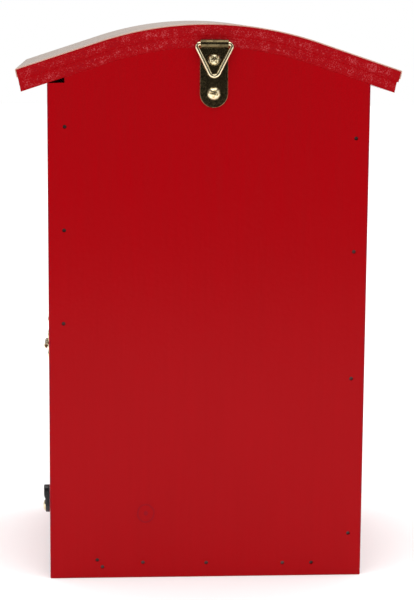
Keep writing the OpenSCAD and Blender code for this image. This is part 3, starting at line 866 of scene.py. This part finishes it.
def sheet_material():
    # The pale edge colour is a painted highlight on the sheet's cut edges.
    return metal_material("Roof sheet", bpy.context.scene.money_box_fittings.tin,
                          0.82, 0.38, 0.55, cloud_scale=40.0, metallic=0.4, bump=0.00004,
                          edge_highlight=(0.75, 0.4, 0.3, 1))


def lacquer_material():
    return metal_material("Black lacquer", bpy.context.scene.money_box_fittings.lacquer,
                          0.6, 0.12, 0.26, metallic=0.0)


# ---------------------------------------------------------------- operators

def roof_corner(radius, run, side):
    """End of a straight side of the roof about the arch's centre, lean of the end included."""
    roof = bpy.context.scene.money_box_roof
    reach = run + (roof.radius - radius) * math.tan(roof.pitch - roof.end_lean)
    sin, cos = math.sin(roof.pitch), math.cos(roof.pitch)
    return (side * (radius * sin + reach * cos), radius * cos - reach * sin)


def slope_length():
    """Straight run of the roof's top surface, from the arch to its end."""
    roof = bpy.context.scene.money_box_roof
    half = BOX["roof_sheet"][1].x
    return (half - roof.radius * math.sin(roof.pitch)) / math.cos(roof.pitch)


def roof_place():
    """Origin and axes of the roof's section: the arch's centre, at the middle of its depth."""
    lo, hi = BOX["roof_sheet"]
    centre_z = hi.z - bpy.context.scene.money_box_roof.radius
    return np.array([0.0, (lo.y + hi.y) / 2, centre_z]), X_AXIS, Z_AXIS, Y_AXIS


class MONEYBOX_OT_boards(bpy.types.Operator):
    """Round the arrises of the six boards of the case and paint them"""

    bl_idname = "moneybox.boards"
    bl_label = "Boards"

    def execute(self, context):
        width = context.scene.money_box_paint.board_round
        for node in ("back_panel", "front_panel", "plain_side_wall", "upper_side_wall",
                     "side_door", "floor_board"):
            rounded_board(node, width)
        return {"FINISHED"}


class MONEYBOX_OT_roof_plies(bpy.types.Operator):
    """Build the two plies of the roof with torn cut edges"""

    bl_idname = "moneybox.roof_plies"
    bl_label = "Roof plies"

    def execute(self, context):
        roof = context.scene.money_box_roof
        lo, hi = BOX["roof_sheet"]
        ring = section_ring(10, 12)
        run = slope_length() - roof.sheet
        material = glinting_ply_material()
        for node, layer, short in (("roof_upper_ply", 0.5, 0.0),
                                   ("roof_lower_ply", 1.5, roof.step)):
            radius = roof.radius - roof.sheet - layer * roof.ply
            corners = [roof_corner(radius, run - short, -1), (0, radius / math.cos(roof.pitch)),
                       roof_corner(radius, run, 1)]
            path, tangents = rounded_path(corners, [0, radius, 0], 0.0005)
            grid, cut = band(path, tangents, roof_place(), (hi.y - lo.y) / 2, roof.ply, 0.00015,
                             ring, roof.pitch - roof.end_lean, roof.roughness, seed=len(node))
            cut = cut * (1 - 0.8 * np.abs(ring[:, 1]) ** 2)
            build_piece(node, "_edged", [grid], "case", "red_ply", material, cut=cut)
        return {"FINISHED"}


class MONEYBOX_OT_roof_sheet(bpy.types.Operator):
    """Build the metal sheet over the roof, folded down over both ends"""

    bl_idname = "moneybox.roof_sheet"
    bl_label = "Roof sheet"

    def execute(self, context):
        roof = context.scene.money_box_roof
        lo, hi = BOX["roof_sheet"]
        half = roof.sheet / 2
        run = slope_length() - half
        middle = roof.radius - half
        corners = [roof_corner(roof.radius - roof.lip, run, -1), roof_corner(middle, run, -1),
                   (0, middle / math.cos(roof.pitch)),
                   roof_corner(middle, run, 1), roof_corner(roof.radius - roof.lip, run, 1)]
        fold = half * 1.6
        path, tangents = rounded_path(corners, [0, fold, middle, fold, 0], 0.001)
        grid, cut = band(path, tangents, roof_place(), (hi.y - lo.y) / 2, roof.sheet, 0.0001,
                         section_ring(24, 1))
        build_piece("roof_sheet", "_folded", [grid], "case", "tin_sheet", sheet_material(),
                    cut=cut)
        return {"FINISHED"}


def hinge_grids(centre_y, spans, side, top):
    """Grids of one hinge leaf: a plate with rounded corners, and a curl for each knuckle."""
    fittings = bpy.context.scene.money_box_fittings
    axis = JOINT["side_door_hinge"]
    thick = fittings.leaf_thickness
    wall = BOX["upper_side_wall"][1].x
    half = hinge_length() / 2
    curl = fittings.knuckle_radius - thick / 2
    low = fittings.knuckle_radius + 0.0003
    corner, overlap, steps = 0.0008, 0.0008, 20

    def width(station):
        near = np.clip(corner - np.minimum(station, top - low - station), 0, corner)
        return half - corner + np.sqrt(corner ** 2 - near ** 2)

    path = np.stack([np.zeros(steps), np.linspace(low, top, steps)], -1)
    tangents = np.repeat(np.array([[0.0, 1.0]]), steps, 0)
    plate_at = np.array([wall + thick / 2, centre_y, axis[2]])
    place = (plate_at, X_AXIS, side * Z_AXIS, Y_AXIS)
    grids = [band(path, tangents, place, width, thick, 0.00012, section_ring(8, 1))[0]]
    for start, end in spans:
        path, tangents = curl_path(low + overlap, axis[0] - wall - thick / 2, curl, 1, 5.0)
        place = (np.array([axis[0], centre_y + (start + end) / 2, axis[2]]),
                 X_AXIS, side * Z_AXIS, Y_AXIS)
        grids.append(band(path, tangents, place, (end - start) / 2, thick * 0.97, 0.0001,
                          section_ring(6, 1))[0])
    return grids


def hinge_length():
    lo, hi = BOX["rear_hinge_pin"]
    return hi.y - lo.y


class MONEYBOX_OT_hinges(bpy.types.Operator):
    """Build the two hinges: leaves curled round their pins, and their small screws"""

    bl_idname = "moneybox.hinges"
    bl_label = "Hinges"

    def execute(self, context):
        fittings = context.scene.money_box_fittings
        brass, dark = brass_material(), old_brass_material()
        axis = JOINT["side_door_hinge"]
        half = hinge_length() / 2
        middle = fittings.knuckle_length / 2
        outer = middle + fittings.knuckle_gap
        ends = [(-half, -outer), (outer, half)]
        for name in ("rear", "front"):
            lo, hi = BOX[name + "_hinge_pin"]
            centre = (lo.y + hi.y) / 2
            height = BOX[name + "_hinge_wall_leaf"][1].z - axis[2]
            for leaf, spans, side, body in (("wall", [(-middle, middle)], 1, "case"),
                                            ("door", ends, -1, "side_door")):
                build_piece(f"{name}_hinge_{leaf}_leaf", "_curled",
                            hinge_grids(centre, spans, side, height), body, "brass", brass)
            radius = (hi.z - lo.z) / 2
            soft = radius * 0.35
            profile = [(-half, 0), (-half, radius - soft), (-half + soft, radius),
                       (half - soft, radius), (half, radius - soft), (half, 0)]
            grid = turned(profile, np.array([axis[0], centre, axis[2]]), Y_AXIS, X_AXIS, Z_AXIS)
            build_piece(name + "_hinge_pin", "_turned", [grid], "case", "old_brass", dark)
        wall = BOX["upper_side_wall"][1].x + fittings.leaf_thickness
        for node, body in (("hinge_wall_screws", "case"), ("hinge_door_screws", "side_door")):
            lo, hi = BOX[node]
            grids = []
            for name in ("rear", "front"):
                pin_lo, pin_hi = BOX[name + "_hinge_pin"]
                for at in (pin_lo.y + fittings.screw_inset, pin_hi.y - fittings.screw_inset):
                    centre = np.array([wall, at, (lo.z + hi.z) / 2])
                    grids.append(screw_head(centre, X_AXIS, Y_AXIS, Z_AXIS,
                                            fittings.small_screw_radius,
                                            fittings.small_screw_height, 40 * at, 16, 48))
            build_piece(node, "_domed", grids, body, "brass", brass)
        return {"FINISHED"}


class MONEYBOX_OT_turn_button(bpy.types.Operator):
    """Build the black turn button and its brass screw"""

    bl_idname = "moneybox.turn_button"
    bl_label = "Turn button"

    def execute(self, context):
        fittings = context.scene.money_box_fittings
        pivot = JOINT["turn_button_pivot"]
        lo, hi = BOX["turn_button"]
        big, small = fittings.button_radius, fittings.button_tip_radius
        reach = hi.z - small - pivot[2]
        thick, tip = fittings.button_thickness, hi.x - lo.x
        soft, rise_start, rise_length = 0.00045, 0.35, 0.4
        turn = np.linspace(0, math.pi / 2, 5)
        # Outline by outline from the underside up: the inset, and the share of the height.
        insets = np.concatenate([[soft * 0.4], soft * 0.4 * (1 - np.sin(turn[1:])), [0.0],
                                 soft * (1 - np.cos(turn)), [soft * 2, soft * 3.5, small * 0.9]])
        level = np.concatenate([np.zeros(2), np.linspace(0.03, 0.1, 3), [0.5],
                                1 - 0.2 * (1 - np.sin(turn)), np.ones(3)])
        rows = []
        for inset, share in zip(insets, level):
            outline = teardrop(inset, big, small, reach)
            rise = np.clip((outline[:, 0] / reach - rise_start) / rise_length, 0, 1)
            height = thick + (tip - thick) * rise * rise * (3 - 2 * rise)
            rows.append(np.column_stack([share * height, outline]))
        rows = np.stack(rows)
        origin = np.array([lo.x, pivot[1], pivot[2]])
        grid = (origin + X_AXIS * rows[..., :1] + Z_AXIS * rows[..., 1:2]
                + Y_AXIS * rows[..., 2:])
        build_piece("turn_button", "_lacquered", [grid], "turn_button", "black_lacquer",
                    lacquer_material(), caps=True)
        screw_hi = BOX["turn_button_screw"][1]
        height = fittings.screw_height * 0.7
        centre = np.array([screw_hi.x - height, pivot[1], pivot[2]])
        grid = screw_head(centre, X_AXIS, Y_AXIS, Z_AXIS, fittings.screw_radius, height, 0.5)
        build_piece("turn_button_screw", "_domed", [grid], "case", "brass", brass_material())
        return {"FINISHED"}


class MONEYBOX_OT_hanger(bpy.types.Operator):
    """Build the hanger: strap rolled into an eye, triangular ring and two domed screws"""

    bl_idname = "moneybox.hanger"
    bl_label = "Hanger"

    def execute(self, context):
        fittings = context.scene.money_box_fittings
        axis = JOINT["hanger_ring_swing"]
        lo, hi = BOX["hanger_strap"]
        half = (hi.x - lo.x) / 2
        thick = fittings.strap_thickness
        offset = axis[1] - lo.y - thick / 2
        narrowest = 0.0003
        path, tangents = curl_path(axis[2] - lo.z, offset, offset, -1, 5.1, steps=90)

        def width(station):
            short = np.clip(half - station, 0, half)
            return np.maximum(np.sqrt(np.maximum(half ** 2 - short ** 2, 0)), narrowest)

        place = (np.array([(lo.x + hi.x) / 2, axis[1], axis[2]]), Y_AXIS, Z_AXIS, X_AXIS)
        grid, cut = band(path, tangents, place, width, thick, 0.00018, section_ring(12, 1))
        build_piece("hanger_strap", "_rolled", [grid], "case", "old_brass",
                    old_brass_material(), cut=cut)

        wide = fittings.ring_half_width
        corners = [(wide, 0), (-wide, 0), (0, -fittings.ring_depth)]
        path, tangents = rounded_path(
            corners, [fittings.ring_corner, fittings.ring_corner, fittings.ring_tip],
            0.00025, closed=True)
        place = (axis, X_AXIS, Z_AXIS, Y_AXIS)
        grid = tube(path, tangents, place, fittings.wire_radius)
        build_piece("hanger_ring", "_bent", [grid], "hanger_ring", "brass", brass_material(),
                    wrap_rows=True)

        lo, hi = BOX["hanger_screws"]
        head = fittings.screw_radius
        base = hi.y - fittings.screw_height
        grids = []
        for height, turn in ((lo.z + head, 0.25), (hi.z - head, 0.9)):
            centre = np.array([(lo.x + hi.x) / 2, base, height])
            grids.append(screw_head(centre, Y_AXIS, X_AXIS, Z_AXIS, head,
                                    fittings.screw_height, turn))
        build_piece("hanger_screws", "_domed", grids, "case", "brass", brass_material())
        return {"FINISHED"}


class MONEYBOX_OT_nails(bpy.types.Operator):
    """Give the case nails, roof nails and sheet pins their steel, darkened as painted shade of
    their sunk holes
    """

    bl_idname = "moneybox.nails"
    bl_label = "Nails"

    def execute(self, context):
        steel = shaded_nail_material()
        for node in ("back_side_nails", "back_floor_nails", "front_side_nails",
                     "front_floor_nails", "roof_nails", "roof_sheet_pins"):
            piece = frame["nodes"][node]
            piece.data.materials.clear()
            piece.data.materials.append(steel)
        return {"FINISHED"}


def floor_material():
    material, tree, shader, place = new_material("Pale floor")
    tone = mix_colour(tree, noise(tree, place, 3.0, 2.0), (0.88, 0.88, 0.88, 1),
                      (0.9, 0.9, 0.9, 1))
    connect(tree, shader, {"Base Color": tone, "Roughness": 0.9, "Specular IOR Level": 0.0})
    return material


def area_light(name, place, size, power):
    """A soft square light at a place, turned towards the middle of the box."""
    light = bpy.data.lights.new(name, "AREA")
    light.size = size
    light.energy = power
    lamp = link_object(name, light)
    lamp.location = place
    aim = Vector((CAD_LO + CAD_HI) / 2) - Vector(place)
    lamp.rotation_euler = aim.to_track_quat("-Z", "Y").to_euler()


def set_room(stage):
    """Even light from all round, weak in reflections and white behind everything."""
    world = bpy.data.worlds.new("Studio")
    bpy.context.scene.world = world
    world.use_nodes = True
    tree = world.node_tree
    tree.nodes.clear()
    path = add(tree, "ShaderNodeLightPath").outputs
    strength = stage.room_light
    for ray, wanted in (("Is Glossy Ray", stage.room_reflection), ("Is Camera Ray", 1.0)):
        strength = add(tree, "ShaderNodeMix", {0: path[ray], 2: strength, 3: wanted},
                       data_type="FLOAT").outputs[0]
    sky = add(tree, "ShaderNodeBackground", {"Color": (1, 1, 1, 1), "Strength": strength})
    leave = add(tree, "ShaderNodeOutputWorld")
    tree.links.new(sky.outputs[0], leave.inputs["Surface"])


def add_camera(stage):
    """The camera behind the box, turned by its yaw, its downward pitch and its roll."""
    yaw, pitch, roll = stage.camera_turn
    back = Vector((math.cos(pitch) * math.sin(yaw), math.cos(pitch) * math.cos(yaw),
                   math.sin(pitch)))
    right = Vector((-math.cos(yaw), math.sin(yaw), 0))
    up = back.cross(right)
    turned_right = right * math.cos(roll) - up * math.sin(roll)
    turned_up = right * math.sin(roll) + up * math.cos(roll)
    data = bpy.data.cameras.new("Camera")
    data.lens = stage.lens
    data.sensor_width = 36
    data.clip_start = 0.02
    camera = link_object("Camera", data)
    turn = Matrix((turned_right, turned_up, back)).transposed().to_4x4()
    camera.matrix_world = Matrix.Translation(stage.camera_place) @ turn
    bpy.context.scene.camera = camera


class MONEYBOX_OT_stage(bpy.types.Operator):
    """Set up the pale floor, the soft light and the camera"""

    bl_idname = "moneybox.stage"
    bl_label = "Stage"

    def execute(self, context):
        stage = context.scene.money_box_stage
        far, near = stage.floor_far, stage.floor_near
        mesh = bpy.data.meshes.new("floor")
        mesh.from_pydata([(-far, -far, 0), (far, -far, 0), (far, near, 0), (-far, near, 0)],
                         [], [(0, 1, 2, 3)])
        floor = link_object("floor", mesh)
        mesh.materials.append(floor_material())

        set_room(stage)
        area_light("Key", (0.0, 0.75, 1.9), 1.7, stage.key_power)
        area_light("Left fill", (1.6, 0.9, 0.7), 1.2, stage.fill_power)
        area_light("Right fill", (-1.6, 0.7, 0.8), 1.2, stage.fill_power)
        area_light("Front fill", (0.3, -1.7, 1.2), 1.4, stage.fill_power)
        ceiling = bpy.data.lights.new("Ceiling", "SUN")
        ceiling.energy = stage.sky_light
        ceiling.angle = math.radians(80)
        link_object("Ceiling", ceiling)

        add_camera(stage)
        context.scene.view_settings.view_transform = "Standard"
        return {"FINISHED"}


class MONEYBOX_PT_panel(bpy.types.Panel):
    """Lists the steps that build the money box"""

    bl_idname = "MONEYBOX_PT_panel"
    bl_label = "Money box"
    bl_space_type = "VIEW_3D"
    bl_region_type = "UI"
    bl_category = "Money box"

    def draw(self, context):
        for step in STEPS:
            self.layout.operator(step.bl_idname)
        for settings in SETTINGS:
            group = getattr(context.scene, settings)
            box = self.layout.box()
            for key in group.bl_rna.properties.keys():
                if key not in ("rna_type", "name"):
                    box.prop(group, key)


STEPS = (MONEYBOX_OT_boards, MONEYBOX_OT_roof_plies, MONEYBOX_OT_roof_sheet, MONEYBOX_OT_hinges,
         MONEYBOX_OT_turn_button, MONEYBOX_OT_hanger, MONEYBOX_OT_nails, MONEYBOX_OT_stage)
SETTINGS = {
    "money_box_paint": MoneyBoxPaint,
    "money_box_roof": MoneyBoxRoof,
    "money_box_fittings": MoneyBoxFittings,
    "money_box_stage": MoneyBoxStage,
}


def register():
    for kind in (*SETTINGS.values(), *STEPS, MONEYBOX_PT_panel):
        bpy.utils.register_class(kind)
    for name, kind in SETTINGS.items():
        setattr(bpy.types.Scene, name, PointerProperty(type=kind))


def unregister():
    for name in SETTINGS:
        delattr(bpy.types.Scene, name)
    for kind in (MONEYBOX_PT_panel, *reversed(STEPS), *reversed(SETTINGS.values())):
        bpy.utils.unregister_class(kind)


def main():
    """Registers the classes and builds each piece."""
    register()
    for step in STEPS:
        group, name = step.bl_idname.split(".")
        getattr(getattr(bpy.ops, group), name)()


if __name__ == "__main__":
    main()
